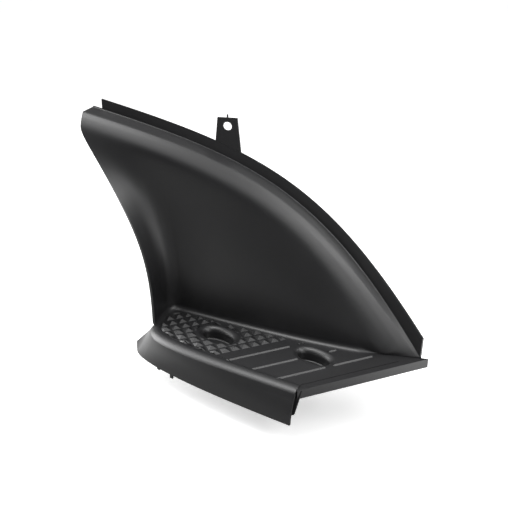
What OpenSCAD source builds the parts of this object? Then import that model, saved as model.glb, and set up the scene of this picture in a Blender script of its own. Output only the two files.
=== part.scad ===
// Left-hand scooter floorboard: one moulding with a tall leg-side wall,
// a ribbed and studded foot tread, two screw wells and an outer skirt.
// X runs to the rear, Y inboard, Z up. Sizes in millimetres.

/* [Floor] */
// Length of the floor along its inner edge
floor_len = 274; // [260:1:290]
// Slope of the inner edge towards the middle of the vehicle
inner_slope = 0.047; // [0.02:0.001:0.07]
// Extra inboard turn of the inner edge at its rear end
inner_turn = 24; // [16:1:30]
// Length of the short front edge that carries the wall's front end
front_run = 42; // [36:1:48]
// Place of the wall's free front edge along the floor
front_x = 2; // [0:0.5:4]
// Radius of the front inner corner at floor level
corner_r = 14; // [12:1:18]
// Distance of the rear outer corner in front of the rear inner corner
rear_cut = 88; // [78:1:96]
// Width of the floor at its rear outer corner, from the inner datum line
floor_w = 76; // [72:1:80]
// Thickness of the moulded plate
plate_t = 2.6; // [2.2:0.1:3.2]
// Depth of the turned-down lip at the rear edge
lip_h = 9.5; // [6:0.5:12]

/* [Wall] */
// Thickness of the wall and of the skirt
wall_t = 2.5; // [2:0.1:3]
// Height of the crest above the floor at the wall's front tip
crest_h = 218; // [200:1:230]
// How far the front tip leans forward of the floor's front corner
tip_x = -80; // [-90:1:-70]
// How far outboard of the datum line the front tip stands
tip_y = -33; // [-40:1:-26]
// Radius of the hollow between floor and wall
fillet_r = 5.5; // [4:0.5:7]
// Width of the rounded crest band, across the wall
band_w = 14; // [10:0.5:18]
// Height of the rounded crest band
band_h = 17; // [12:0.5:22]
// Width of the narrow rim behind the crest
rim_w = 13; // [9:0.5:17]
// Rise of the rim towards the flange
rim_rise = 4; // [2:0.5:6]
// Height of the flange that stands behind the rim
flange_h = 10.5; // [8:0.5:14]
// Height of the flange at its square rear end
flange_end_h = 20.5; // [16:0.5:26]
// Setback of the flange's square front end, as a share of the crest
flange_from = 0.03; // [0.03:0.005:0.06]
// Cut back of the rim's corner at the front tip
tip_cut = 7; // [3:0.5:10]
// Run of the crest band along the floor where it lands at the rear
band_run = 25; // [20:1:30]

/* [Skirt] */
// Drop of the skirt below the floor at its front
skirt_h = 36; // [32:1:40]
// Drop of the skirt below the floor at its rear end
skirt_end_h = 32; // [28:1:36]
// Outward flare of the skirt at its rear end
skirt_flare = 10; // [6:0.5:14]
// How far the skirt's lower front corner reaches forward
skirt_reach = 22; // [14:1:26]
// Radius of the rounded shoulder between floor and skirt
shoulder_r = 5; // [4.5:0.5:6.5]
// Height of the shoulder above the tread
shoulder_rise = 0.9; // [0.6:0.1:1.4]
// Depth of the tongue that stands inside the skirt's rear end
tongue_h = 25; // [18:0.5:27]
// Thickness of the tongue
tongue_t = 2.2; // [1.8:0.1:2.8]
// Drop of the longer clip below the skirt's lower edge
clip_drop = 4.5; // [3:0.5:6]

/* [Tread] */
// Distance between pyramid studs, along and across the ribs
stud_pitch = 10.6; // [9:0.1:12]
// Height of one pyramid stud
stud_h = 2.2; // [1.4:0.1:2.8]
// Width of the flat gap between neighbouring studs
stud_gap = 0.6; // [0.4:0.1:1.2]
// Plain border between the inner edge and the studs
border_in = 8; // [7.5:0.5:10]
// Plain border between the shoulder and the studs
border_out = 12.5; // [11:0.5:15]
// Height of the three straight ribs
rib_h = 0.9; // [0.6:0.1:1.4]
// Width of the three straight ribs
rib_w = 2.2; // [1.6:0.1:3]
// Distance of the last rib in front of the rear edge
rib_back = 24; // [21:0.5:27]
// Distance between ribs, along the floor
rib_pitch = 29; // [28:0.5:30]
// Plain border between the skirt's side and the first rib
rib_gap = 14.5; // [13:0.5:16]

/* [Screw wells] */
// Length of a well at its mouth
well_len = 44; // [40:1:48]
// Width of a well at its mouth
well_w = 27; // [24:1:30]
// Depth of a well from the tread to the screw seat
well_depth = 13; // [9:0.5:17]
// Radius of the rounded mouth
mouth_r = 6.5; // [4:0.5:7]
// Diameter of the screw hole in each well
floor_hole_d = 6.5; // [5:0.1:8]
// Place of the front well behind the floor's front corner
front_well_x = 70; // [66:1:76]
// Place of the front well outboard of the datum line
front_well_y = -24; // [-27:1:-21]
// Distance of the rear well in front of the rear inner corner
rear_well_back = 100; // [94:1:106]
// Place of the rear well outboard of the datum line
rear_well_y = -12; // [-15:1:-10]

/* [Tab] */
// Place of the upper fixing tab along the wall, as a share of the crest
tab_at = 0.33; // [0.3:0.005:0.37]
// Width of the tab at its top
tab_w = 20.5; // [16:0.5:24]
// Height of the tab above the flange
tab_rise = 29; // [26:0.5:32]
// Thickness of the tab
tab_t = 2.6; // [2:0.1:3.4]
// Diameter of the tab's hole
tab_hole_d = 9; // [6:0.1:11]
// Distance of the hole below the tab's top
tab_hole_drop = 8.5; // [8:0.5:12]

/* [Hidden] */
eps = 0.5;
steps = 32;

// Datum line of the inner edge, a little inboard of the hollow
edge_y0 = 2.5;
// Front run of the wall, from its free end to the inner corner
front_end = [front_x, -front_run];
front_top = [front_x - 7, inner_y(0) - corner_r];
turn_x = front_top[0] + corner_r;
// Where the foot of the wall runs out at the rear
land_x = floor_len - band_run - 11;
// Ends of the crest line, and the pull of the curve at each end
crest_a = [tip_x, tip_y, crest_h];
pull_a = [166, 71.5, -52];
pull_b = [-126, 14, 134];
// Shares of the path taken by the front run and by the corner
run_share = 0.1;
turn_share = 0.18;

rear_well_x = floor_len - rear_well_back;
rear_inner = [floor_len, inner_y(floor_len)];
rear_outer = [floor_len - rear_cut, -floor_w];
land_back = 12;
crest_b = flat(rear_inner - land_back * unit(rear_inner - foot_inner(land_x)), 1);

function inner_y(x) = edge_y0 + inner_slope * x + inner_turn * pow(max(x, 0) / floor_len, 4);
function bez3(p, t) = pow(1 - t, 3) * p[0] + 3 * pow(1 - t, 2) * t * p[1]
    + 3 * (1 - t) * t * t * p[2] + pow(t, 3) * p[3];
function bez2(a, k, b, t) = (1 - t) * (1 - t) * a + 2 * (1 - t) * t * k + t * t * b;
function unit(v) = v / norm(v);
function flat(v, z) = [v[0], v[1], z];
function right_of(d) = unit([d[1], -d[0], 0]);
function mix(a, b, k) = a * (1 - k) + b * k;

// Foot of the wall: front run, corner, then the inner edge
function foot(t) = t < run_share ? mix(front_end, front_top, t / run_share)
    : t < turn_share ? bez2(front_top, [front_top[0] - 0.5, inner_y(0)], foot_inner(turn_x),
        (t - run_share) / (turn_share - run_share))
    : foot_inner(mix(turn_x, land_x, (t - turn_share) / (1 - turn_share)));
function foot_inner(x) = [x, inner_y(x)];
function foot_out(t) = right_of(foot(min(t + 0.004, 1)) - foot(max(t - 0.004, 0)));

// Crest line, and how far the sections have turned to land on the floor
function crest(t) = bez3([crest_a, crest_a + pull_a, crest_b + pull_b, crest_b], t);
function crest_run(t) = flat(crest(min(t + 0.004, 1)) - crest(max(t - 0.004, 0)), 0);
function crest_in(t) = -right_of(crest_run(t));
function landing(t) = pow(t, 5);
function up(z) = [0, 0, z];

land_dir = unit(flat(rear_inner - foot(1), 0));
land_in = -right_of(land_dir);
function band_foot(t) =
    mix(crest(t) - crest_in(t) * band_w - up(band_h), flat(foot(t), 0), pow(t, 9));
function rim_back(t) = crest(t) + mix(crest_in(t) * rim_w + up(rim_rise), land_dir * 4, landing(t))
    + unit(crest(t + 0.01) - crest(t)) * tip_cut * pow(max(1 - t / flange_from, 0), 2);
function flange_top(t) = rim_back(t) + mix(crest_in(t) * 0.4, land_dir * 0.5, landing(t))
    + up(mix(flange_h, flange_end_h, t * t));

// One section of the wall, from the tread up and over to the flange
function wall_section(t) = let(
        b = flat(foot(t), 0), o = foot_out(t), c = crest(t),
        l = flat(band_foot(t), max(band_foot(t)[2], 1.5)),
        r = min(fillet_r, 0.4 * l[2]), q = b + up(r), d = l - q, g = rim_back(t), f = flange_top(t))
    concat(
        [b + o * (r + 1.5) - up(eps)],
        [for (a = [25, 50, 72]) b + o * r * (1 - sin(a)) + up(r * (1 - cos(a)))],
        [for (i = [0:8]) bez3([q, q + up(0.43 * d[2]),
            l - [0.77 * d[0], 0.77 * d[1], 0.45 * d[2]], l], i / 8)],
        [for (i = [1:5]) bez2(l, l + (c - l) * 0.3 + up(0.55 * (c[2] - l[2])), c, i / 5)],
        [mix(c, g, 0.5), g, mix(g, f, 0.2) , f]);

// Skirt: a path along the shoulder and one along the lower edge
skirt_a = [front_x - 4, -front_run];
function shoulder(s) = bez3([skirt_a, [skirt_a[0] + 4, skirt_a[1] - 30],
    [0.376 * rear_outer[0], -floor_w + 3], rear_outer], s);
function shoulder_out(s) = right_of(shoulder(min(s + 0.01, 1)) - shoulder(max(s - 0.01, 0)));
function hem(s) = let(p = bez3([[skirt_a[0] - skirt_reach, skirt_a[1]],
        [skirt_a[0] - 12, skirt_a[1] - 20], [0.323 * rear_outer[0], -floor_w - 1],
        [rear_outer[0], rear_outer[1] - skirt_flare]], s))
    flat(p, 10 * pow(max(1 - s / 0.09, 0), 2) - mix(skirt_h, skirt_end_h, s));
function skirt_section(s) = let(p = flat(shoulder(s), 0), o = shoulder_out(s), h = hem(s),
        r = shoulder_r * min(0.75 + 2 * s, 1),
        c = p + up(shoulder_rise - r) - o * r, w = c + o * r)
    concat(
        [p - o * (shoulder_r + 5) - up(eps), p - o * (shoulder_r + 3) + up(0.75 * shoulder_rise)],
        [c + up(r)],
        [for (a = [25, 50, 72]) c + (o * sin(a) + up(cos(a))) * r],
        [for (i = [0:4]) mix(w, h, i / 4)]);

// Sheet: a grid of points given a thickness along its own normals
function grid_normal(g, i, j) = let(n = len(g) - 1, m = len(g[0]) - 1,
        u = g[min(i + 1, n)][j] - g[max(i - 1, 0)][j],
        v = g[i][min(j + 1, m)] - g[i][max(j - 1, 0)])
    unit(cross(u, v));

module sheet(g, thin) {
    n = len(g);
    m = len(g[0]);
    front = [for (i = [0:n - 1]) for (j = [0:m - 1]) g[i][j]];
    back = [for (i = [0:n - 1]) for (j = [0:m - 1])
        g[i][j] - grid_normal(g, i, j) * (j == 0 ? thin : wall_t)];
    function at(i, j) = i * m + j;
    k = n * m;
    function quad(a, b, c, d) = [[a, b, c], [a, c, d]];
    faces = concat(
        [for (i = [0:n - 2]) for (j = [0:m - 2])
            each quad(at(i, j), at(i, j + 1), at(i + 1, j + 1), at(i + 1, j))],
        [for (i = [0:n - 2]) for (j = [0:m - 2])
            each quad(k + at(i, j), k + at(i + 1, j), k + at(i + 1, j + 1), k + at(i, j + 1))],
        [for (i = [0:n - 2]) each quad(at(i, 0), at(i + 1, 0), k + at(i + 1, 0), k + at(i, 0))],
        [for (i = [0:n - 2])
            each quad(at(i, m - 1), k + at(i, m - 1), k + at(i + 1, m - 1), at(i + 1, m - 1))],
        [for (j = [0:m - 2]) each quad(at(0, j), k + at(0, j), k + at(0, j + 1), at(0, j + 1))],
        [for (j = [0:m - 2])
            each quad(at(n - 1, j), at(n - 1, j + 1), k + at(n - 1, j + 1), k + at(n - 1, j))]);
    polyhedron(concat(front, back), faces, convexity = 8);
}

wall_steps = concat([for (i = [0:4]) i * run_share / 4],
    [for (i = [1:6]) run_share + i * (turn_share - run_share) / 6],
    [for (i = [1:steps]) turn_share + i * (1 - turn_share) / steps]);
module wall() difference() {
    sheet([for (t = wall_steps) wall_section(t)], 1.4);
    flange_cut();
}
// Space in front of the flange's square end, just above the rim
module flange_cut() {
    a = rim_back(flange_from) + up(0.4);
    in = crest_in(flange_from);
    back = unit(rim_back(0.02) - rim_back(flange_from)) * 60;
    block(a - in * 2, back, in * 12, up(30));
}
// Oblique block on three edges that leave one corner
module block(a, x, y, z) polyhedron(
    [a, a + x, a + x + y, a + y, a + z, a + x + z, a + x + y + z, a + y + z],
    cross(x, y) * z > 0 ? block_faces : [for (f = block_faces) [f[3], f[2], f[1], f[0]]]);
block_faces = [[0, 1, 2, 3], [4, 7, 6, 5], [0, 4, 5, 1], [1, 5, 6, 2], [2, 6, 7, 3], [3, 7, 4, 0]];
module skirt() sheet([for (i = [20:-1:0]) skirt_section(pow(i / 20, 1.4))], 1.4);

// Tongue inside the skirt's rear end, parallel to the skirt's face
tongue_back = 14;
tongue_in = 3.6;
module tongue() {
    lean = skirt_flare / (skirt_end_h - shoulder_r + shoulder_rise);
    function at(x, z) = flat(rear_outer, 0) + [x, tongue_in + lean * (z + shoulder_r), z];
    line = [at(-tongue_back, -1.2), at(4.5, -1.2), at(1, 1 - tongue_h), at(-1.5, -tongue_h),
        at(-tongue_back, -tongue_h)];
    n = len(line);
    side = [0, tongue_t, 0];
    polyhedron([each line, each [for (p = line) p + side]],
        [[for (i = [0:n - 1]) i], [for (i = [n - 1:-1:0]) n + i],
            for (i = [0:n - 1]) let(j = (i + 1) % n) [i, i + n, j + n, j]]);
}

// Two clips under the skirt's lower edge
clip_l = 3.6;
clip_t = 1.8;
module clip(s, drop) translate(hem(s) + [0, 0.4, -drop])
    rotate([0, 0, atan2(shoulder_out(s)[0], -shoulder_out(s)[1])]) cube([clip_l, clip_t, drop + 3]);
module clips() {
    clip(0.4, clip_drop / 2);
    clip(0.5, clip_drop);
}

// Outline of the plate
edge_in = wall_t - 0.4;
function outline() = concat(
    [for (i = [0:24]) let(t = i / 24, p = foot(t) - vec2(foot_out(t)) * edge_in) p],
    [rear_inner + vec2(land_in * 2.4 - land_dir * 7), rear_inner + vec2(land_in * 0.4 - land_dir * 6.5)],
    [rear_inner, rear_outer - rear_dir * 2.6],
    [for (i = [15:-1:0]) let(s = i / 16, p = shoulder(s) - vec2(shoulder_out(s)) * 2) p]);
function vec2(v) = [v[0], v[1]];

module plate() {
    difference() {
        translate([0, 0, -lip_h]) linear_extrude(lip_h) polygon(outline());
        translate([0, 0, -lip_h - 1]) linear_extrude(lip_h + 1 - plate_t) polygon(pocket());
    }
}
rear_dir = unit(rear_outer - rear_inner);
rear_in = [rear_dir[1], -rear_dir[0]];
function pocket() = let(a = rear_inner + rear_in * plate_t - rear_dir * 200, b = a + rear_dir * 600)
    [a, b, b + rear_in * 400, a + rear_in * 400];

// Sill that the wall's rear end lands on
module sill() {
    a = foot(1) - vec2(land_dir) * 6 - vec2(land_in) * 0.4;
    b = rear_inner - vec2(land_dir) * 7 - vec2(land_in) * 0.4;
    w = vec2(land_in) * 3.2;
    translate([0, 0, -1]) linear_extrude(2.1) polygon([a, b, b + w, a + w]);
}

// Screw wells: a slot-shaped cup with a rounded mouth and a screw hole
well_run = well_len - well_w;
well_r = well_w / 2 - mouth_r;
seat_z = -well_depth;
module slot(l, r, h) {
    for (x = [-l / 2, l / 2]) translate([x, 0, 0]) cylinder(h = h, r = r, $fn = 48);
    translate([-l / 2, -r, 0]) cube([l, 2 * r, h]);
}
module well_cup() translate([0, 0, seat_z - plate_t]) slot(well_run, well_r + wall_t, well_depth + plate_t - 0.4);
module well_space() {
    translate([0, 0, seat_z]) slot(well_run, well_r, well_depth + 5);
    for (x = [-well_run / 2, well_run / 2]) translate([x, 0, 0]) rotate_extrude($fn = 48) mouth(0);
    rotate([90, 0, 90]) translate([0, 0, -well_run / 2]) linear_extrude(well_run) {
        mouth(1);
        mirror([1, 0]) mouth(1);
    }
}
// Half of the rounded mouth, seen in section
module mouth(inset) polygon(concat([[inset, 1], [inset, -mouth_r]],
    [for (a = [90:-18:0]) [well_r + mouth_r * (1 - sin(a)), -mouth_r * (1 - cos(a))]],
    [[well_r + mouth_r, 1]]));
module screw_hole() translate([0, 0, seat_z - plate_t - 1]) cylinder(h = plate_t + 2, d = floor_hole_d, $fn = 48);

wells = [[front_well_x, front_well_y], [rear_well_x, rear_well_y]];
well_turn = -9;
module at_wells() for (w = wells) translate([w[0], w[1], 0]) rotate([0, 0, well_turn]) children();

// Straight ribs with round ends, parallel to the rear edge
rib_dir = -rear_dir;
module rib(a, l) translate([a[0], a[1], -1]) rotate([0, 0, atan2(rib_dir[1], rib_dir[0])]) {
    translate([0, -rib_w / 2, 0]) cube([l, rib_w, 1 + rib_h]);
    for (x = [0, l]) translate([x, 0, 0]) cylinder(h = 1 + rib_h, d = rib_w, $fn = 24);
}
// Outer end of rib i, and the run from there to the plain border along the inner edge
function rib_start(i) = rear_outer + [(i - 2) * rib_pitch - rib_back, rib_gap - 2 * i];
function reach(a, l = 80, n = 8) = n == 0 ? l
    : reach(a, (inner_y(a[0] + l * rib_dir[0]) - border_in - a[1]) / rib_dir[1], n - 1);
dot_gap = 4;
rib_end_gap = 16;
module ribs() {
    difference() {
        for (i = [0:2]) rib(rib_start(i), reach(rib_start(i)) - (i == 0 ? rib_end_gap : 0));
        translate([rear_well_x, rear_well_y, -2]) rotate([0, 0, well_turn])
            slot(well_run, well_r + mouth_r + 2, 8);
    }
    for (k = [0, dot_gap]) translate(concat(rib_start(0) + rib_dir * (reach(rib_start(0)) - k), [-1]))
        cylinder(h = 1 + rib_h, d = 0.8 * rib_w, $fn = 16);
}

// Field of pyramid studs in front of the ribs, clear of the front well
stud_side = [rib_dir[1], -rib_dir[0]];
stud_foot = (stud_pitch - stud_gap) / sqrt(2);
field_corner = 6;
field_gap = 14;
field_rear = rib_start(0) + [-field_gap, 3];
field = concat(
    [[front_x, inner_y(0) - border_in - 3 * field_corner], [front_x, inner_y(0) - border_in - field_corner],
        [front_x + field_corner, inner_y(0) - border_in], field_rear + rib_dir * reach(field_rear), field_rear],
    [for (s = [0.56:-0.08:0.08]) shoulder(s) - vec2(shoulder_out(s)) * border_out]);
function inside(p) = min([for (i = [0:len(field) - 1]) let(a = field[i], b = field[(i + 1) % len(field)])
    cross(p - a, b - a) / norm(b - a)]) > -0.4 * stud_pitch;
module studs() difference() {
    intersection() {
        for (i = [-9:13], j = [-3:12]) let(p = field_rear + (i * rib_dir - (j + 0.5) * stud_side) * stud_pitch)
            if (inside(p)) translate([p[0], p[1], -0.4]) rotate([0, 0, atan2(rib_dir[1], rib_dir[0]) + 45])
                cylinder(h = stud_h + 0.4, r1 = stud_foot, r2 = 0.1 * stud_foot, $fn = 4);
        translate([0, 0, -1]) linear_extrude(stud_h + 2) polygon(field);
    }
    translate([front_well_x, front_well_y, -2]) rotate([0, 0, well_turn])
        slot(well_run, well_r + mouth_r + 2.5, 8);
}

// Fixing tab that stands behind the flange
tab_foot = flange_top(tab_at);
tab_turn = atan2(crest_run(tab_at)[1], crest_run(tab_at)[0]);
module tab() translate(tab_foot) rotate([0, 0, tab_turn]) rotate([90, 0, 0]) translate([0, 0, -tab_t - 0.4]) {
    difference() {
        union() {
            linear_extrude(tab_t) polygon([[-tab_w / 2 - 4, -12], [tab_w / 2 + 4, -12],
                [tab_w / 2, tab_rise], [-tab_w / 2, tab_rise]]);
            translate([0, tab_rise - 1, tab_t / 2]) rotate([-90, 0, 0]) cylinder(h = 4.5, d = 1.8, $fn = 24);
        }
        translate([0, tab_rise - tab_hole_drop, -1]) cylinder(h = tab_t + 2, d = tab_hole_d, $fn = 48);
    }
}

// The origin is the middle of the front screw seat
module floorboard() {
    color([0.13, 0.13, 0.14]) translate([-front_well_x, -front_well_y, -seat_z]) union() {
        difference() {
            union() {
                plate();
                sill();
                at_wells() well_cup();
                ribs();
                studs();
            }
            at_wells() {
                well_space();
                screw_hole();
            }
        }
        tab();
        wall();
        skirt();
        tongue();
        clips();
    }
}
floorboard();
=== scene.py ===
"""Looks of a left-hand scooter floorboard: one black grained moulding.

The shape is worked out with numpy as smooth surfaces from the same sizes as the solid,
joined into one closed shell. X runs to the rear, Y inboard, Z up; sizes are in
millimetres until a mesh is written in metres.
"""
import math

import bpy
import numpy as np
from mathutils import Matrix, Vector


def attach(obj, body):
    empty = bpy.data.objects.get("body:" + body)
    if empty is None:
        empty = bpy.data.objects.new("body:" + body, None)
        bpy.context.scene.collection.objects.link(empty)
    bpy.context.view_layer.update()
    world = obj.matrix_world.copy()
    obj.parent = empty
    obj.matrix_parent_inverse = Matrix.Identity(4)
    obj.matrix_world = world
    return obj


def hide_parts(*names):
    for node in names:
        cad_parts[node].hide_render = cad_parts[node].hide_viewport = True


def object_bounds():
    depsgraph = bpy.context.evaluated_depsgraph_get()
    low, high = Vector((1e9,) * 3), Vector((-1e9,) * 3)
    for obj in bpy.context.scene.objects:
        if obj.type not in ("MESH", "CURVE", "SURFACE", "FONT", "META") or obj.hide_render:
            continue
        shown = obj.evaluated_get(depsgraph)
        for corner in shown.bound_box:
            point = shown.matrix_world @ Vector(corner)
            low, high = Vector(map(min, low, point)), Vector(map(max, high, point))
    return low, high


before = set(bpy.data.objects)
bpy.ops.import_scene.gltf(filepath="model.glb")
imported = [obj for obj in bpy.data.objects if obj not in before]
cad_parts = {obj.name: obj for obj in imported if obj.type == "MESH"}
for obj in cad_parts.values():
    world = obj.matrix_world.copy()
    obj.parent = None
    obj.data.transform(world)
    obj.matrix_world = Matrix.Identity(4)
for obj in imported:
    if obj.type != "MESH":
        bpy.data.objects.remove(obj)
cad_low, cad_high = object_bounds()

MM = 0.001

# Floor
FLOOR_LEN = 274.0
INNER_SLOPE = 0.047
INNER_TURN = 24.0
EDGE_Y0 = 2.5
FRONT_RUN = 42.0
FRONT_X = 2.0
FRONT_LEAN = 7.0
CORNER_R = 14.0
REAR_CUT = 88.0
FLOOR_W = 76.0
PLATE_T = 2.6
LIP_H = 9.5
PLATE_TO = 0.985  # share of the shoulder's run that the plate's outline follows
PLATE_NOTCH = 2.6
SILL_FRONT = 6.0
SILL_REAR = 7.0
SILL_W = 3.2
SILL_H = 1.1

# Wall
WALL_T = 2.5
CREST_H = 218.0
TIP = (-80.0, -33.0)
FILLET_R = 5.5
BAND_W = 14.0
BAND_H = 17.0
BAND_RUN = 25.0
RIM_W = 13.0
RIM_RISE = 4.0
FLANGE_H = 10.5
FLANGE_END_H = 20.5
FLANGE_FROM = 0.03
FLANGE_LEAN = 0.4
TIP_CUT = 7.0
LAND_GAP = 11.0
LAND_BACK = 12.0
LAND_RIM = 4.0
LAND_LEAN = 0.5
BAND_LEAST_Z = 1.5
BEND_UP = 0.06  # shares of the flange and of the rim that the bend between them takes
BEND_BACK = 0.1
EDGE_T = 1.4
EDGE_OUT = 1.5
EDGE_DOWN = 0.5
FILLET_SHARE = 0.4
FOOT_EASE = 0.17  # share of the wall's run, each way, over which its foot is averaged
EASE_FRONT = 0.08  # shares of the run, at its ends, over which this easing fades out
EASE_REAR = 0.3
EASE_STEPS = 9
FOOT_PULL = 0.43
FACE_PULL = np.array([0.77, 0.77, 0.45])
CREST_PULL = np.array([0.38, 0.38, 0.68])
SOFT_PASSES = 10
SOFT_ROWS = (-24, -6)  # rows smoothed at the band's foot, counted back from the crest

# Skirt
SKIRT_H = 36.0
SKIRT_END_H = 32.0
SKIRT_FLARE = 10.0
SKIRT_REACH = 22.0
SHOULDER_RISE = 0.9
SHOULDER_HIGH = 7.0
SHOULDER_WIDE = 10.5
SHOULDER_OVER = 1.2
SHOULDER_ARC = math.radians(68)
SHOULDER_START = 0.75  # share of its full size that the shoulder has at its front end
FACE_BULGE = 1.8
CORNER_LIFT = 10.0
LIFT_SHARE = 0.09
PLATE_IN = 5.5
SHOULDER_PULL = np.array([4.0, -30.0, 0])
SHOULDER_REAR = (0.376, 3.0)  # pull point: share of the rear corner's x, offset in y
HEM_PULL = np.array([12.0, 20.0, 0])
HEM_REAR = (0.323, -1.0)
TONGUE_H = 25.0
TONGUE_T = 2.2
TONGUE_IN = 3.6
TONGUE_BACK = 14.0
TONGUE_PAST = 4.5
TONGUE_FROM = 5.0  # depth from which the solid's skirt flares
TONGUE_DEEP = 1.2
CLIP_DROP = 4.5
CLIP_L = 3.6
CLIP_T = 1.8
CLIPS = ((0.4, CLIP_DROP / 2), (0.5, CLIP_DROP))  # share of the hem's run, drop

# Tread
STUD_PITCH = 10.6
STUD_H = 2.2
STUD_GAP = 0.6
STUD_TOP = 0.1  # width of a stud's top as a share of its foot
STUD_OUT = 0.4  # share of the pitch by which a stud's middle may lie outside the field
STUD_COLUMNS = np.arange(-9, 14)
STUD_ROWS = np.arange(-3, 13) + 0.5
BORDER_IN = 8.0
BORDER_OUT = 12.5
RIB_H = 1.2
RIB_W = 3.0
RIB_RISES = np.array([0, 0.5, 0.85, 1])  # rounded top: shares of height, then of width
RIB_WIDTHS = np.array([1, 1, 0.62, 0.3, 0.12])
RIB_BACK = 24.0
RIB_PITCH = 29.0
RIB_GAP = 14.5
RIB_STEP = 2.0
RIB_END_GAP = 16.0
RIB_BREAK = (50, 61)  # break in the third rib, from its outer end
DOT_GAP = 4.0
DOT_RADII = (0.4, 0.4, 0.25)  # shares of a rib's width, from foot to top
DOT_EDGE = 0.3
FIELD_GAP = 14.0
FIELD_SHIFT = 3.0
FIELD_SIDE = 18.0
FIELD_CORNER = 6.0
GROOVE_W = 0.9
GROOVE_DEPTH = 0.5
GROOVE_GAP = 4.0
GROOVE_FRONT = np.array([12.0, -49.5])
GROOVE_CORNER = np.array([181.0, -70.0])
SUNK = 0.4  # depth by which added pieces are sunk into what carries them

# Screw wells and tab
WELL_LEN = 44.0
WELL_W = 27.0
WELL_DEPTH = 13.0
MOUTH_R = 6.0
BASE_R = 1.5
MOUTH_GAP = 1.5
OVAL_LONG = 1.5  # added to a slot's half length and half width for the oval
OVAL_WIDE = 1.0
OVAL_POWER = 2.25
FRONT_GROW = 1.2  # growth of the front well all round
FLOOR_HOLE_D = 6.5
WELLS = ((70.0, -24.0), (174.0, -12.0))
WELL_TURN = math.radians(-9)
TAB_AT = 0.33
TAB_W = 20.5
TAB_RISE = 29.0
TAB_HOLE_DROP = 8.5
TAB_T = 2.6
TAB_HOLE_D = 9.0
TAB_BACK = 0.4
TAB_FOOT = 12.0
TAB_FOOT_FLARE = 4.0
PIP_R = 0.9
PIP_H = 3.5
PIP_EDGE = 0.3

ORIGIN = np.array([WELLS[0][0], WELLS[0][1], -WELL_DEPTH])


def unit(v):
    """Each row of v divided by its own length."""
    return v / np.linalg.norm(v, axis=-1, keepdims=True)


def mix(a, b, k):
    """a at k = 0 and b at k = 1, in a straight line between."""
    return a * (1 - k) + b * k


def bez2(a, k, b, t):
    """Curve from a to b pulled towards k."""
    return (1 - t) ** 2 * a + 2 * (1 - t) * t * k + t * t * b


def bez3(a, ka, kb, b, t):
    """Curve from a to b that leaves towards ka and arrives from kb."""
    return (1 - t) ** 3 * a + 3 * (1 - t) ** 2 * t * ka + 3 * (1 - t) * t * t * kb + t ** 3 * b


def up(z):
    """Vectors of height z straight up."""
    z = np.asarray(z, float)
    return np.stack([0 * z, 0 * z, z], -1)


def right_of(d):
    """Level unit vectors to the right of the directions d."""
    return unit(np.stack([d[..., 1], -d[..., 0], 0 * d[..., 0]], -1))


def inner_y(x):
    """The floor's inner edge: a straight slope with a quartic turn inboard at the rear."""
    return EDGE_Y0 + INNER_SLOPE * x + INNER_TURN * (np.maximum(x, 0) / FLOOR_LEN) ** 4


LAND_X = FLOOR_LEN - BAND_RUN - LAND_GAP
RUN_SHARE = 0.1
TURN_SHARE = 0.18
FRONT_END = np.array([FRONT_X, -FRONT_RUN, 0.0])
FRONT_TOP = np.array([FRONT_X - FRONT_LEAN, inner_y(0) - CORNER_R, 0.0])
TURN_X = FRONT_TOP[0] + CORNER_R
TURN_END = np.array([TURN_X, inner_y(TURN_X), 0.0])
REAR_INNER = np.array([FLOOR_LEN, inner_y(FLOOR_LEN), 0.0])
REAR_OUTER = np.array([FLOOR_LEN - REAR_CUT, -FLOOR_W, 0.0])
RIB_DIR = unit(REAR_INNER - REAR_OUTER)
RIB_TURN = math.atan2(RIB_DIR[1], RIB_DIR[0])


def foot(t):
    """Foot of the wall: a straight front run, a rounded corner, then the inner edge."""
    t = np.asarray(t, float)[:, None]
    run = mix(FRONT_END, FRONT_TOP, t / RUN_SHARE)
    knee = np.array([FRONT_TOP[0] - 0.5, inner_y(0), 0])
    turn = bez2(FRONT_TOP, knee, TURN_END, (t - RUN_SHARE) / (TURN_SHARE - RUN_SHARE))
    x = mix(TURN_END[0], LAND_X, (t - TURN_SHARE) / (1 - TURN_SHARE))
    edge = np.concatenate([x, inner_y(x), 0 * x], 1)
    return np.where(t < RUN_SHARE, run, np.where(t < TURN_SHARE, turn, edge))


def sideways(f, t, step=0.004):
    """Level unit vectors to the right of the curve f, from its points a step either way."""
    return right_of(f(np.minimum(t + step, 1)) - f(np.maximum(t - step, 0)))


def foot_out(t):
    """Level unit vectors across the foot, towards the tread."""
    return sideways(foot, t)


LAND_DIR = unit(REAR_INNER - foot([1.0])[0])
LAND_IN = np.array([-LAND_DIR[1], LAND_DIR[0], 0])
CREST_A = np.array([TIP[0], TIP[1], CREST_H])
CREST_B = REAR_INNER - LAND_BACK * LAND_DIR + [0, 0, 1]
# The crest's pull points, as offsets from its ends
PULL_A = np.array([166.0, 71.5, -52])
PULL_B = np.array([-126.0, 14, 134])


def crest(t):
    """Line between the crest band and the rim, one smooth curve from tip to rear."""
    t = np.asarray(t, float)[:, None]
    return bez3(CREST_A, CREST_A + PULL_A, CREST_B + PULL_B, CREST_B, t)


def crest_in(t):
    """Level unit vectors across the crest line, inboard."""
    return -sideways(crest, t)


def landing(t):
    """Share by which a section has turned to land along the floor's edge: t to the fifth."""
    return t[:, None] ** 5


def band_foot(t):
    """Lower edge of the crest band."""
    raised = crest(t) - crest_in(t) * BAND_W - [0, 0, BAND_H]
    p = mix(raised, foot(t), t[:, None] ** 9)
    p[:, 2] = np.maximum(p[:, 2], BAND_LEAST_Z)
    return p


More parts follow.
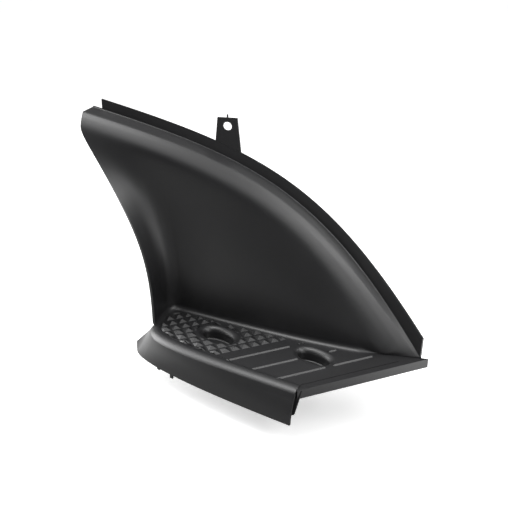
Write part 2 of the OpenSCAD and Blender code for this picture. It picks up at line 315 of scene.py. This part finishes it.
def rim_back(t):
    """Back edge of the rim, where the flange rises."""
    ahead = unit(crest(t + 0.01) - crest(t)) * TIP_CUT
    cut = np.maximum(1 - t / FLANGE_FROM, 0)[:, None] ** 2
    across = mix(crest_in(t) * RIM_W + [0, 0, RIM_RISE], LAND_DIR * LAND_RIM, landing(t))
    return crest(t) + across + ahead * cut


def flange_top(t):
    """Top edge of the flange."""
    lean = mix(crest_in(t) * FLANGE_LEAN, LAND_DIR * LAND_LEAN, landing(t))
    return rim_back(t) + lean + up(mix(FLANGE_H, FLANGE_END_H, t * t))


def rows(f, n, first=0, last=1):
    """n points of the curve f between the shares first and last, as grid rows."""
    return [f(k) for k in np.linspace(first, last, n)]


def wall_grid(t):
    """Sections of the wall side by side: hollow, tall face, crest band, rim, bend, flange.
    The tall face is a cubic curve whose lower pull follows the foot's mean over FOOT_EASE,
    and the rows round the band's foot are averaged, 1 : 2 : 1, SOFT_PASSES times."""
    b, o, low, c = foot(t), foot_out(t), band_foot(t), crest(t)
    r = np.minimum(FILLET_R, FILLET_SHARE * low[:, 2])[:, None]
    q = b + r * [0, 0, 1]
    d = low - q
    back, top = rim_back(t), flange_top(t)
    steps = np.linspace(-1, 1, EASE_STEPS)
    eased = sum(foot(t + step * np.minimum(t, FOOT_EASE)) for step in steps) / EASE_STEPS
    away = (np.minimum(t / EASE_FRONT, 1) * np.minimum((1 - t) / EASE_REAR, 1))[:, None]
    ka = mix(q, eased + r * [0, 0, 1], away) + d * [0, 0, FOOT_PULL]
    kb = low - d * FACE_PULL
    kc = low + (c - low) * CREST_PULL
    corner = mix(back, top, BEND_UP)
    before = mix(back, c, BEND_BACK)

    def hollow(a):
        return b + o * r * (1 - math.sin(a)) + r * [0, 0, 1] * (1 - math.cos(a))

    grid = [b + o * (r + EDGE_OUT) - [0, 0, EDGE_DOWN]]
    grid += [hollow(a) for a in np.radians(np.linspace(4, 84, 11))]
    grid += rows(lambda k: bez3(q, ka, kb, low, k), 40)
    grid += rows(lambda k: bez2(low, kc, c, k), 16, 1 / 16)
    bend = slice(len(grid) + SOFT_ROWS[0], len(grid) + SOFT_ROWS[1])
    for _ in range(SOFT_PASSES):
        soft = [(a + 2 * m + z) / 4 for a, m, z in zip(grid, grid[1:], grid[2:])]
        grid[bend] = soft[bend.start - 1:bend.stop - 1]
    grid += rows(lambda k: mix(c, before, k), 4, 0.2)
    grid += rows(lambda k: bez2(before, back, corner, k), 5, 0.2)
    grid += rows(lambda k: mix(corner, top, k), 6, 0.15)
    return np.stack(grid, 1)


SKIRT_A = np.array([FRONT_X - 4, -FRONT_RUN, 0])


def shoulder(s):
    """Plan line of the shoulder, from the front end round to the rear outer corner."""
    s = np.asarray(s, float)[:, None]
    ka = SKIRT_A + SHOULDER_PULL
    kb = np.array([SHOULDER_REAR[0] * REAR_OUTER[0], SHOULDER_REAR[1] - FLOOR_W, 0])
    return bez3(SKIRT_A, ka, kb, REAR_OUTER, s)


def shoulder_out(s):
    """Level unit vectors across the shoulder, outwards."""
    return sideways(shoulder, s, step=0.01)


def hem(s):
    """Lower edge of the skirt, lifted by CORNER_LIFT in a parabola at its front corner."""
    s = np.asarray(s, float)[:, None]
    a = SKIRT_A - [SKIRT_REACH, 0, 0]
    ka = SKIRT_A - HEM_PULL
    kb = np.array([HEM_REAR[0] * REAR_OUTER[0], HEM_REAR[1] - FLOOR_W, 0])
    p = bez3(a, ka, kb, REAR_OUTER - [0, SKIRT_FLARE, 0], s)
    lift = CORNER_LIFT * np.maximum(1 - s[:, 0] / LIFT_SHARE, 0) ** 2
    p[:, 2] = lift - mix(SKIRT_H, SKIRT_END_H, s[:, 0])
    return p


def skirt_grid(s):
    """Sections of the skirt: a step up from the tread, a shoulder that is part of an ellipse,
    then the flared face, bulged in a parabola."""
    p, o, h = shoulder(s), shoulder_out(s), hem(s)
    share = np.minimum(SHOULDER_START + 2 * s, 1)[:, None]
    high, wide, over = SHOULDER_HIGH * share, SHOULDER_WIDE * share, SHOULDER_OVER * share
    c = p + (SHOULDER_RISE - high) * [0, 0, 1] - o * (wide - over)
    w = c + o * wide
    grid = [c - o * 4 + (high - SHOULDER_RISE - 0.5) * [0, 0, 1]]
    grid += [c - o * 2 + (high - 0.3) * [0, 0, 1]]
    bulge = o * FACE_BULGE * np.minimum(4 * s, 1)[:, None]
    grid += rows(lambda a: c + o * wide * math.sin(a) + high * [0, 0, math.cos(a)],
                 14, 0, SHOULDER_ARC)
    grid += rows(lambda k: mix(w, h, k) + bulge * 4 * k * (1 - k), 14, 0.04)
    return np.stack(grid, 1)


def write_mesh(name, points, faces):
    """A mesh object in metres, with its origin at the front screw seat."""
    mesh = bpy.data.meshes.new(name)
    mesh.from_pydata(((points - ORIGIN) * MM).tolist(), [], faces)
    mesh.validate()
    obj = bpy.data.objects.new(name, mesh)
    bpy.context.collection.objects.link(obj)
    return obj


def grid_faces(n, m, shift=0, turned=False):
    """Quads of an n by m grid of points, numbered row by row."""
    i, j = np.meshgrid(np.arange(n - 1), np.arange(m - 1), indexing="ij")
    a = (i * m + j).ravel() + shift
    quads = np.stack([a, a + 1, a + m + 1, a + m], 1)
    return quads if turned else quads[:, ::-1]


def rim_faces(n, m):
    """Quads that close the edge between a front grid and the back grid that follows it."""
    k = n * m
    low = np.arange(n) * m
    high = low + m - 1
    first = np.arange(m)
    last = first + (n - 1) * m

    def strip(line):
        return np.stack([line[:-1], line[1:], line[1:] + k, line[:-1] + k], 1)
    return np.concatenate([strip(low)[:, ::-1], strip(high), strip(first), strip(last)[:, ::-1]])


def sheet_mesh(name, grid):
    """A grid of points given the wall's thickness along its own normals, as a closed shell.
    Its first row has the thickness EDGE_T, so that it ends inside what carries it."""
    n, m = grid.shape[:2]
    u = np.gradient(grid, axis=0)
    v = np.gradient(grid, axis=1)
    normal = unit(np.cross(u, v))
    depth = np.full((n, m, 1), WALL_T)
    depth[:, 0] = EDGE_T
    back = grid - normal * depth
    points = np.concatenate([grid.reshape(-1, 3), back.reshape(-1, 3)])
    faces = np.concatenate([grid_faces(n, m), grid_faces(n, m, n * m, True), rim_faces(n, m)])
    return write_mesh(name, points, faces.tolist())


def side_faces(n):
    """Faces of a closed body between two loops of n points, with a cap on each."""
    i = np.arange(n)
    j = (i + 1) % n
    sides = np.stack([i, j, j + n, i + n], 1).tolist()
    return sides + [i[::-1].tolist(), (i + n).tolist()]


def prism(name, outline, low, high):
    """Closed prism over a plan outline, which is turned anticlockwise where it isn't."""
    n = len(outline)
    flat = np.asarray(outline, float)[:, :2]
    area = np.sum(flat[:, 0] * np.roll(flat[:, 1], -1) - flat[:, 1] * np.roll(flat[:, 0], -1))
    if area < 0:
        flat = flat[::-1]
    bottom = np.column_stack([flat, np.full(n, low)])
    top = np.column_stack([flat, np.full(n, high)])
    return write_mesh(name, np.concatenate([bottom, top]), side_faces(n))


def slot_line(run, r, n=48):
    """Outline of a slot with round ends: two half circles of radius r, run apart."""
    a = np.linspace(-90, 90, n // 2)
    a = np.radians(np.concatenate([a, a + 180]))
    shift = np.where(np.arange(n) < n // 2, run / 2, -run / 2)
    return np.stack([r * np.cos(a) + shift, r * np.sin(a)], 1)


def circle(r, n):
    """n points anticlockwise on a circle of radius r."""
    a = np.radians(np.linspace(0, 360, n, endpoint=False))
    return np.stack([np.cos(a), np.sin(a)], 1) * r


def oval_line(r, n=72):
    """Outline of a well at radius r: a superellipse, |x / a| ** p + |y / b| ** p = 1."""
    a = np.radians(np.linspace(-90, 270, n, endpoint=False))
    p = np.stack([np.cos(a), np.sin(a)], 1)
    half = [WELL_RUN / 2 + r + OVAL_LONG, r + OVAL_WIDE]
    return np.sign(p) * np.abs(p) ** (2 / OVAL_POWER) * half


def place(xy, at, turn):
    """Plan points turned by an angle and moved to a place."""
    c, s = math.cos(turn), math.sin(turn)
    return np.asarray(xy) @ np.array([[c, s], [-s, c]]) + np.asarray(at)


def stack_mesh(name, loops, heights):
    """Closed body through level loops of equal count, one above the other."""
    n = len(loops[0])
    points = np.concatenate([
        np.column_stack([loop, np.full(n, z)]) for loop, z in zip(loops, heights)])
    i = np.arange(n)
    j = (i + 1) % n
    faces = []
    for k in range(len(loops) - 1):
        faces += (np.stack([i, j, j + n, i + n], 1) + k * n).tolist()
    faces += [i[::-1].tolist(), (i + n * (len(loops) - 1)).tolist()]
    return write_mesh(name, points, faces)


def join(base, part, kind):
    """Adds part to base, cuts it away or keeps what they share, then deletes part."""
    step = base.modifiers.new(kind, "BOOLEAN")
    step.operation = kind
    step.object = part
    step.solver = "MANIFOLD"
    bpy.context.view_layer.update()
    depsgraph = bpy.context.evaluated_depsgraph_get()
    mesh = bpy.data.meshes.new_from_object(base.evaluated_get(depsgraph))
    base.modifiers.clear()
    old = base.data
    base.data = mesh
    bpy.data.meshes.remove(old)
    bpy.data.meshes.remove(part.data)
    return base


EDGE_IN = WALL_T - SUNK
SILL_END = REAR_INNER - LAND_DIR * SILL_REAR - LAND_IN * SUNK


def floor_plate():
    """Level plate with its rear edge turned down: a plate as thick as the lip is high,
    cut away below PLATE_T except for a strip along the rear edge."""
    t = np.linspace(0, 1, 90)
    s = np.linspace(0, PLATE_TO, 60)[::-1]
    outline = np.concatenate([
        foot(t) - foot_out(t) * EDGE_IN,
        [SILL_END + LAND_IN * 2.8, SILL_END + LAND_IN * 0.8 + LAND_DIR * 0.5],
        [REAR_INNER, REAR_OUTER + RIB_DIR * PLATE_NOTCH],
        shoulder(s) - shoulder_out(s) * PLATE_IN])
    plate = prism("plate", outline, -LIP_H, 0)
    along = unit(REAR_OUTER - REAR_INNER)
    inward = np.array([along[1], -along[0], 0])
    a = REAR_INNER + inward * PLATE_T - along * FLOOR_LEN
    b = a + along * 3 * FLOOR_LEN
    far = inward * 2 * FLOOR_LEN
    pocket = prism("pocket", [a, b, b + far, a + far], -LIP_H - 1, -PLATE_T)
    return join(plate, pocket, "DIFFERENCE")


def sill():
    """Low sill that the wall's rear end lands on."""
    a = foot([1.0])[0] - LAND_DIR * SILL_FRONT - LAND_IN * SUNK
    w = LAND_IN * SILL_W
    return prism("sill", [a, SILL_END, SILL_END + w, a + w], -1, SILL_H)


WELL_RUN = WELL_LEN - WELL_W
WELL_R = WELL_W / 2 - MOUTH_R


def well_parts(at):
    """Cup, space and screw hole of one well, with rounded mouth and base edges."""
    grow = FRONT_GROW if at[0] == WELLS[0][0] else 0

    def loop(r):
        return place(oval_line(r + grow), at, WELL_TURN)
    cup = prism("cup", loop(WELL_R + WALL_T), -WELL_DEPTH - PLATE_T, -SUNK)
    lower = [(WELL_R - BASE_R * (1 - math.sin(a)), -WELL_DEPTH + BASE_R * (1 - math.cos(a)))
             for a in np.radians(np.linspace(0, 90, 6))]
    upper = [(WELL_R + MOUTH_R * (1 - math.sin(a)), -MOUTH_R * (1 - math.cos(a)))
             for a in np.radians(np.linspace(90, 0, 12))]
    line = lower + upper + [(WELL_R + MOUTH_R + 0.01, 4)]
    space = stack_mesh("space", [loop(r) for r, z in line], [z for r, z in line])
    hole = prism("hole", circle(FLOOR_HOLE_D / 2, 40) + at,
                 -WELL_DEPTH - PLATE_T - 1, -WELL_DEPTH + 1)
    return cup, space, hole


def rib(start, length):
    """Straight rib with round ends and sloped sides, parallel to the rear edge."""
    at = start + RIB_DIR[:2] * length / 2
    heights = [-1, *(RIB_H * RIB_RISES)]
    loops = [place(slot_line(length, w, 24), at, RIB_TURN) for w in RIB_W / 2 * RIB_WIDTHS]
    return stack_mesh("rib", loops, heights)


def rib_start(k):
    """Outer end of rib k, counted from the front."""
    return REAR_OUTER[:2] + [(k - 2) * RIB_PITCH - RIB_BACK, RIB_GAP - RIB_STEP * k]


def reach(start):
    """Run from a point along the ribs to the plain border beside the inner edge, found by
    putting the run's own end into the edge's formula eight times."""
    run = 80.0
    for _ in range(8):
        run = (inner_y(start[0] + run * RIB_DIR[0]) - BORDER_IN - start[1]) / RIB_DIR[1]
    return run


def ribs():
    """Three ribs, kept clear of the rear well, the third with a break beside it, and two
    dots in line with the first."""
    keep = place(oval_line(WELL_R + MOUTH_R + MOUTH_GAP), WELLS[1], WELL_TURN)
    for k in range(3):
        start = rib_start(k)
        end = reach(start) - (RIB_END_GAP if k == 0 else 0)
        whole, broken = [(0, end)], [(0, RIB_BREAK[0]), (RIB_BREAK[1], end)]
        for first, last in broken if k == 2 else whole:
            piece = rib(start + RIB_DIR[:2] * first, last - first)
            yield join(piece, prism("keep", keep, -3, 4), "DIFFERENCE")
    for short in (0, DOT_GAP):
        at = rib_start(0) + RIB_DIR[:2] * (reach(rib_start(0)) - short)
        loops = [circle(share * RIB_W, 16) + at for share in DOT_RADII]
        yield stack_mesh("dot", loops, [-1, RIB_H - DOT_EDGE, RIB_H])


FIELD_REAR = rib_start(0) + [-FIELD_GAP, FIELD_SHIFT]


def stud_field():
    """Outline of the studded field: front, inner edge, first rib, then the shoulder."""
    share = np.arange(0.56, 0.07, -0.08)
    outer = shoulder(share) - shoulder_out(share) * BORDER_OUT
    inner = inner_y(0) - BORDER_IN
    return np.concatenate([
        [[FRONT_X, inner - FIELD_SIDE], [FRONT_X, inner - FIELD_CORNER]],
        [[FRONT_X + FIELD_CORNER, inner]],
        [FIELD_REAR + RIB_DIR[:2] * reach(FIELD_REAR), FIELD_REAR],
        outer[:, :2]])


def border_line():
    """Fine groove at the tread's outer and rear border: two strips of even width."""
    half = GROOVE_W / 2
    end = GROOVE_CORNER + RIB_DIR[:2] * (reach(GROOVE_CORNER) - GROOVE_GAP)
    strips = []
    for a, b in ((GROOVE_FRONT, GROOVE_CORNER), (GROOVE_CORNER, end)):
        along = unit(b - a)
        side = np.array([-along[1], along[0]]) * half
        strips.append([a - side, b - side, b + side, a + side])
    return strips


def inside(points, outline):
    """Smallest distance of each point from the lines of an outline that runs clockwise."""
    a = outline
    d = unit(np.roll(a, -1, 0) - a)
    p = points[:, None] - a
    return np.min(p[..., 0] * d[:, 1] - p[..., 1] * d[:, 0], 1)


def studs():
    """Square pyramids in rows along and across the ribs, cut off at the field's outline."""
    u = RIB_DIR[:2]
    w = np.array([-u[1], u[0]])
    field = stud_field()
    i, j = np.meshgrid(STUD_COLUMNS, STUD_ROWS, indexing="ij")
    centre = FIELD_REAR + (i.ravel()[:, None] * u + j.ravel()[:, None] * w) * STUD_PITCH
    centre = centre[inside(centre, field) > -STUD_OUT * STUD_PITCH]
    n = len(centre)
    foot_w = (STUD_PITCH - STUD_GAP) / 2
    corner = np.array([-u - w, u - w, u + w, -u + w]) * foot_w
    base = (centre[:, None] + corner).reshape(-1, 2)
    top = (centre[:, None] + corner * STUD_TOP).reshape(-1, 2)
    points = np.concatenate([
        np.column_stack([base, np.full(4 * n, -SUNK)]),
        np.column_stack([top, np.full(4 * n, STUD_H)])])
    k = np.arange(n)[:, None] * 4
    ring = np.arange(4)
    nxt = (ring + 1) % 4
    sides = np.stack([k + ring, k + nxt, k + nxt + 4 * n, k + ring + 4 * n], -1)
    faces = sides.reshape(-1, 4).tolist()
    faces += (k + ring[::-1]).tolist() + (k + ring + 4 * n).tolist()
    pyramids = write_mesh("studs", points, outward(points, faces))
    join(pyramids, prism("field", field, -1, STUD_H + 1), "INTERSECT")
    loop = place(oval_line(WELL_R + MOUTH_R + FRONT_GROW + MOUTH_GAP), WELLS[0], WELL_TURN)
    join(pyramids, prism("clear", loop, -2, STUD_H + 2), "DIFFERENCE")
    return pyramids


def outward(points, faces):
    """The same faces, turned over where the solid that they close would be inside out."""
    total = 0.0
    for f in faces:
        p = points[f]
        for k in range(1, len(f) - 1):
            total += np.dot(p[0], np.cross(p[k], p[k + 1]))
    return faces if total > 0 else [f[::-1] for f in faces]


def tab():
    """Tapered tab with a round hole and a moulding pip, behind the flange."""
    at = flange_top(np.array([TAB_AT]))[0]
    inward = crest_in(np.array([TAB_AT]))[0]
    along = np.array([inward[1], -inward[0], 0])
    near, far = TAB_BACK, TAB_BACK + TAB_T
    half, base = TAB_W / 2, TAB_W / 2 + TAB_FOOT_FLARE
    line = np.array([[-base, -TAB_FOOT], [base, -TAB_FOOT], [half, TAB_RISE], [-half, TAB_RISE]])

    def plate(shape, a, b):
        x, z = shape[:, :1], shape[:, 1:]
        face = at + x * along + z * [0, 0, 1]
        points = np.concatenate([face + inward * a, face + inward * b])
        return points, outward(points, side_faces(len(shape)))

    body = write_mesh("tab", *plate(line, near, far))
    hole = circle(TAB_HOLE_D / 2, 48) + [0, TAB_RISE - TAB_HOLE_DROP]
    join(body, write_mesh("hole", *plate(hole, near - 1, far + 1)), "DIFFERENCE")
    pip = at + inward * (near + far) / 2
    loops = [circle(r, 16) + pip[:2] for r in (PIP_R, PIP_R, PIP_R - PIP_EDGE)]
    heights = pip[2] + TAB_RISE + np.array([-1, PIP_H - PIP_EDGE, PIP_H])
    post = stack_mesh("pip", loops, heights)
    return join(body, post, "UNION")


def block(name, a, x, y, z):
    """Oblique block on three edges that leave one corner."""
    points = np.array([a, a + x, a + x + y, a + y, a + z, a + x + z, a + x + y + z, a + y + z])
    faces = [[0, 1, 2, 3], [4, 7, 6, 5], [0, 4, 5, 1], [1, 5, 6, 2], [2, 6, 7, 3], [3, 7, 4, 0]]
    return write_mesh(name, points, outward(points, faces))


def flange_cut():
    """Space in front of the flange's square end, just above the rim."""
    at, inward = rim_back(np.array([FLANGE_FROM, 0.02])), crest_in(np.array([FLANGE_FROM]))[0]
    back = unit(at[1] - at[0]) * 60
    return block("cut", at[0] + [0, 0, 0.4] - inward * 2, back, inward * 12, np.array([0, 0, 30.0]))


def tongue():
    """Tongue that stands inside the skirt's rear end, parallel to the skirt's face."""
    lean = SKIRT_FLARE / (SKIRT_END_H - TONGUE_FROM + SHOULDER_RISE)
    line = np.array([[-TONGUE_BACK, -TONGUE_DEEP], [TONGUE_PAST, -TONGUE_DEEP], [1, 1 - TONGUE_H],
                     [-1.5, -TONGUE_H], [-TONGUE_BACK, -TONGUE_H]])
    x, z = line[:, 0], line[:, 1]
    face = REAR_OUTER + np.stack([x, TONGUE_IN + lean * (z + TONGUE_FROM), z], 1)
    points = np.concatenate([face, face + [0, TONGUE_T, 0]])
    return write_mesh("tongue", points, outward(points, side_faces(len(face))))


def clips():
    """Two short clips under the skirt's lower edge."""
    for share, drop in CLIPS:
        s = np.array([share])
        out = shoulder_out(s)[0]
        along = np.array([-out[1], out[0], 0])
        yield block("clip", hem(s)[0] + [0, SUNK, -drop],
                    along * CLIP_L, -out * CLIP_T, np.array([0, 0, drop + 3]))


def floorboard():
    """The whole moulding, as one closed shell."""
    body = floor_plate()
    join(body, sill(), "UNION")
    parts = [well_parts(np.array(at)) for at in WELLS]
    for cup, _, _ in parts:
        join(body, cup, "UNION")
    for piece in ribs():
        join(body, piece, "UNION")
    join(body, studs(), "UNION")
    for strip in border_line():
        join(body, prism("groove", strip, -GROOVE_DEPTH, 3), "DIFFERENCE")
    for _, space, hole in parts:
        join(body, space, "DIFFERENCE")
        join(body, hole, "DIFFERENCE")
    t = np.concatenate([np.linspace(0, RUN_SHARE, 10)[:-1],
                        np.linspace(RUN_SHARE, TURN_SHARE, 20)[:-1],
                        np.linspace(TURN_SHARE, 1, 110)])
    wall = sheet_mesh("wall", wall_grid(t))
    join(wall, flange_cut(), "DIFFERENCE")
    join(body, wall, "UNION")
    join(body, tongue(), "UNION")
    for piece in clips():
        join(body, piece, "UNION")
    join(body, sheet_mesh("skirt", skirt_grid(np.linspace(1, 0, 90) ** 1.3)), "UNION")
    join(body, tab(), "UNION")
    body.name = "floorboard_moulding"
    return body


class Sock:
    """One socket of a shader node, with Python's operators as Math nodes."""

    def __init__(self, tree, link):
        self.tree = tree
        self.link = link

    def math(self, operation, *others):
        made = make_node(self.tree, "ShaderNodeMath", {"operation": operation})
        for k, value in enumerate((self,) + others):
            feed(self.tree, made.inputs[k], value)
        return Sock(self.tree, made.outputs[0])

    def __add__(self, other):
        return self.math("ADD", other)

    __radd__ = __add__

    def __mul__(self, other):
        return self.math("MULTIPLY", other)

    __rmul__ = __mul__

    def __sub__(self, other):
        return self.math("SUBTRACT", other)

    def __rsub__(self, other):
        return (self * -1) + other


def feed(tree, socket, value):
    """Links a wrapped socket, or sets a plain value."""
    if isinstance(value, Sock):
        tree.links.new(value.link, socket)
    else:
        socket.default_value = value


def make_node(tree, kind, settings=None, **values):
    """A node with its settings made first, then its sockets fed by name."""
    made = tree.nodes.new(kind)
    for key, value in (settings or {}).items():
        setattr(made, key, value)
    for key, value in values.items():
        feed(tree, made.inputs[key.replace("_", " ")], value)
    return made


def grey(tree, socket, value):
    """Feeds a colour socket with a grey of the given brightness."""
    colour = make_node(tree, "ShaderNodeCombineColor", None, Red=value, Green=value, Blue=value)
    tree.links.new(colour.outputs[0], socket)


DARK = (0.008, 0.008, 0.0088, 1)
PALE = (0.012, 0.012, 0.0130, 1)
GRAIN_SCALE = 900.0
CLOUD_SCALE = 14.0
ROUGH = 0.34
SHINE = 0.85


def black_plastic():
    """Black moulded plastic: a fine leather-like grain, slight tone changes, half-matt.
    Roughness is ROUGH + 0.08 cloud + 0.1 grain."""
    material = bpy.data.materials.new("black_plastic")
    material.use_nodes = True
    tree = material.node_tree
    shader = tree.nodes["Principled BSDF"]
    where = Sock(tree, tree.nodes.new("ShaderNodeTexCoord").outputs["Object"])
    grain = make_node(tree, "ShaderNodeTexNoise", None, Vector=where,
                      Scale=GRAIN_SCALE, Detail=3.0, Roughness=0.6)
    cloud = make_node(tree, "ShaderNodeTexNoise", None, Vector=where,
                      Scale=CLOUD_SCALE, Detail=3.0)
    grain_value = Sock(tree, grain.outputs["Factor" if "Factor" in grain.outputs else "Fac"])
    cloud_value = Sock(tree, cloud.outputs["Factor" if "Factor" in cloud.outputs else "Fac"])
    tone = make_node(tree, "ShaderNodeMix", {"data_type": "RGBA"})
    colour_in = [s for s in tone.inputs if s.type == "RGBA"]
    colour_in[0].default_value = DARK
    colour_in[1].default_value = PALE
    feed(tree, tone.inputs[0], cloud_value)
    colour_out = [s for s in tone.outputs if s.type == "RGBA"][0]
    tree.links.new(colour_out, shader.inputs["Base Color"])
    shader.inputs["Specular IOR Level"].default_value = SHINE
    feed(tree, shader.inputs["Roughness"], cloud_value * 0.08 + grain_value * 0.1 + ROUGH)
    bump = make_node(tree, "ShaderNodeBump", None, Height=grain_value,
                     Strength=0.15, Distance=0.00012)
    tree.links.new(bump.outputs["Normal"], shader.inputs["Normal"])
    return material


SHARP_ANGLE = math.radians(17)


def finish_shading(body):
    """Smooth shading with hard edges kept, weighted so that flat faces stay flat."""
    body.data.shade_smooth()
    body.data.set_sharp_from_angle(angle=SHARP_ANGLE)
    weighted = body.modifiers.new("weighted", "WEIGHTED_NORMAL")
    weighted.keep_sharp = True
    weighted.weight = 80


moulding = floorboard()
finish_shading(moulding)
moulding.data.materials.clear()
moulding.data.materials.append(black_plastic())
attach(moulding, "root")
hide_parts("floorboard")


# Camera at the photograph's viewing angle; its place is in the part's own millimetres
AZIMUTH = math.radians(30)
PITCH = math.radians(24.5)
LENS_PX = 800.0
PICTURE_PX = 508.0
SENSOR = 36.0
CAMERA_MM = np.array([462.0, -629.2, 420.2])


def photo_camera():
    """Camera that looks along the azimuth, down by the pitch, from its measured place."""
    data = bpy.data.cameras.new("camera")
    data.sensor_width = SENSOR
    data.lens = SENSOR * LENS_PX / PICTURE_PX
    data.clip_start = 0.05
    data.clip_end = 20
    camera = bpy.data.objects.new("camera", data)
    bpy.context.collection.objects.link(camera)
    camera.location = Vector((CAMERA_MM - ORIGIN) * MM)
    camera.rotation_euler = (math.pi / 2 - PITCH, 0, AZIMUTH)
    bpy.context.scene.camera = camera


# Floor, in metres: its size, its gap under the part, and where it throws light back
STAGE_SIZE = 6.0
STAGE_GAP = 0.02
STAGE_MIDDLE_X = 0.06
STAGE_END = 0.14
STAGE_SIDE = 0.25
RAMP = 8
FLOOR_TONE = 0.25
FLOOR_SEEN_TONE = 0.65
FLOOR_BOUNCE = 1.8
REAR_BOUNCE = 0.5


def ramp(value):
    """A socket times RAMP, held between 0 and 1."""
    return (value * RAMP).math("MINIMUM", 1.0).math("MAXIMUM", 0.0)


def floor_stage():
    """Plain pale floor under the part, open to its shadow. The camera sees it turn white
    away from the part; other rays meet a soft bounce that is limited to the part's ends."""
    z = cad_low[2] - STAGE_GAP
    mesh = bpy.data.meshes.new("stage_floor")
    corners = [(x * STAGE_SIZE, y * STAGE_SIZE, z) for x, y in ((-1, -1), (1, -1), (1, 1), (-1, 1))]
    mesh.from_pydata(corners, [], [(0, 1, 2, 3)])
    stage = bpy.data.objects.new("stage_floor", mesh)
    bpy.context.collection.objects.link(stage)
    material = bpy.data.materials.new("stage_floor")
    material.use_nodes = True
    tree = material.node_tree
    plain = tree.nodes["Principled BSDF"]
    plain.inputs["Roughness"].default_value = 0.9
    plain.inputs["Specular IOR Level"].default_value = 0.0
    seen = Sock(tree, tree.nodes.new("ShaderNodeLightPath").outputs["Is Camera Ray"])
    where = Sock(tree, tree.nodes.new("ShaderNodeTexCoord").outputs["Object"])
    span = make_node(tree, "ShaderNodeVectorMath", {"operation": "LENGTH"}, Vector=where)
    far = make_node(tree, "ShaderNodeMapRange", None, Value=Sock(tree, span.outputs["Value"]),
                    From_Min=0.25, From_Max=0.9, To_Min=0.55, To_Max=1.0)
    spot = make_node(tree, "ShaderNodeSeparateXYZ", None, Vector=where)
    x, y = (Sock(tree, spot.outputs[axis]) for axis in "XY")
    ends = ramp((x - STAGE_MIDDLE_X).math("ABSOLUTE") - STAGE_END)
    bounce = ends * ramp(y + STAGE_SIDE) * (ramp(x) * REAR_BOUNCE + FLOOR_BOUNCE)
    grey(tree, plain.inputs["Base Color"], seen * FLOOR_SEEN_TONE + FLOOR_TONE)
    glow = seen * Sock(tree, far.outputs[0]) + (1 - seen) * bounce
    grey(tree, plain.inputs["Emission Color"], glow)
    plain.inputs["Emission Strength"].default_value = 1.0
    mesh.materials.append(material)


# Lamps by name: place and width in metres, power in watts
AIM = Vector((0.08, -0.02, 0.08))
LAMPS = {
    "front": ((-0.82, -0.12, 0.48), 0.7, 12),
    "front_high": ((-0.22, -0.12, 1.03), 0.5, 6.3),
    "key": ((0.08, -0.42, 0.98), 0.5, 1),
    "inner_high": ((0.18, 0.38, 0.98), 0.5, 0.8),
    "rear_high": ((0.6, 0.28, 0.87), 0.5, 2.8),
    "rear_top": ((0.73, -0.17, 0.78), 0.4, 3),
    "rear_near": ((0.83, -0.57, 0.43), 0.5, 2.4),
}


def lamp(name, at, width, power):
    """Soft square lamp aimed at the middle of the part."""
    data = bpy.data.lights.new(name, "AREA")
    data.shape = "SQUARE"
    data.size = width
    data.energy = power
    obj = bpy.data.objects.new(name, data)
    bpy.context.collection.objects.link(obj)
    obj.location = at
    obj.rotation_euler = (AIM - Vector(at)).to_track_quat("-Z", "Y").to_euler()


def world_light():
    """Surroundings that look white to the camera and give no light."""
    world = bpy.data.worlds.new("world")
    bpy.context.scene.world = world
    world.use_nodes = True
    tree = world.node_tree
    dark = tree.nodes["Background"]
    dark.inputs["Color"].default_value = (1, 1, 1, 1)
    dark.inputs["Strength"].default_value = 0.0
    white = tree.nodes.new("ShaderNodeBackground")
    white.inputs["Color"].default_value = (1, 1, 1, 1)
    white.inputs["Strength"].default_value = 1.0
    path = tree.nodes.new("ShaderNodeLightPath")
    both = tree.nodes.new("ShaderNodeMixShader")
    tree.links.new(path.outputs["Is Camera Ray"], both.inputs[0])
    tree.links.new(dark.outputs[0], both.inputs[1])
    tree.links.new(white.outputs[0], both.inputs[2])
    tree.links.new(both.outputs[0], tree.nodes["World Output"].inputs["Surface"])


photo_camera()
floor_stage()
world_light()
for lamp_name, (lamp_place, lamp_width, lamp_power) in LAMPS.items():
    lamp(lamp_name, lamp_place, lamp_width, lamp_power)
bpy.context.scene.view_settings.view_transform = "Standard"
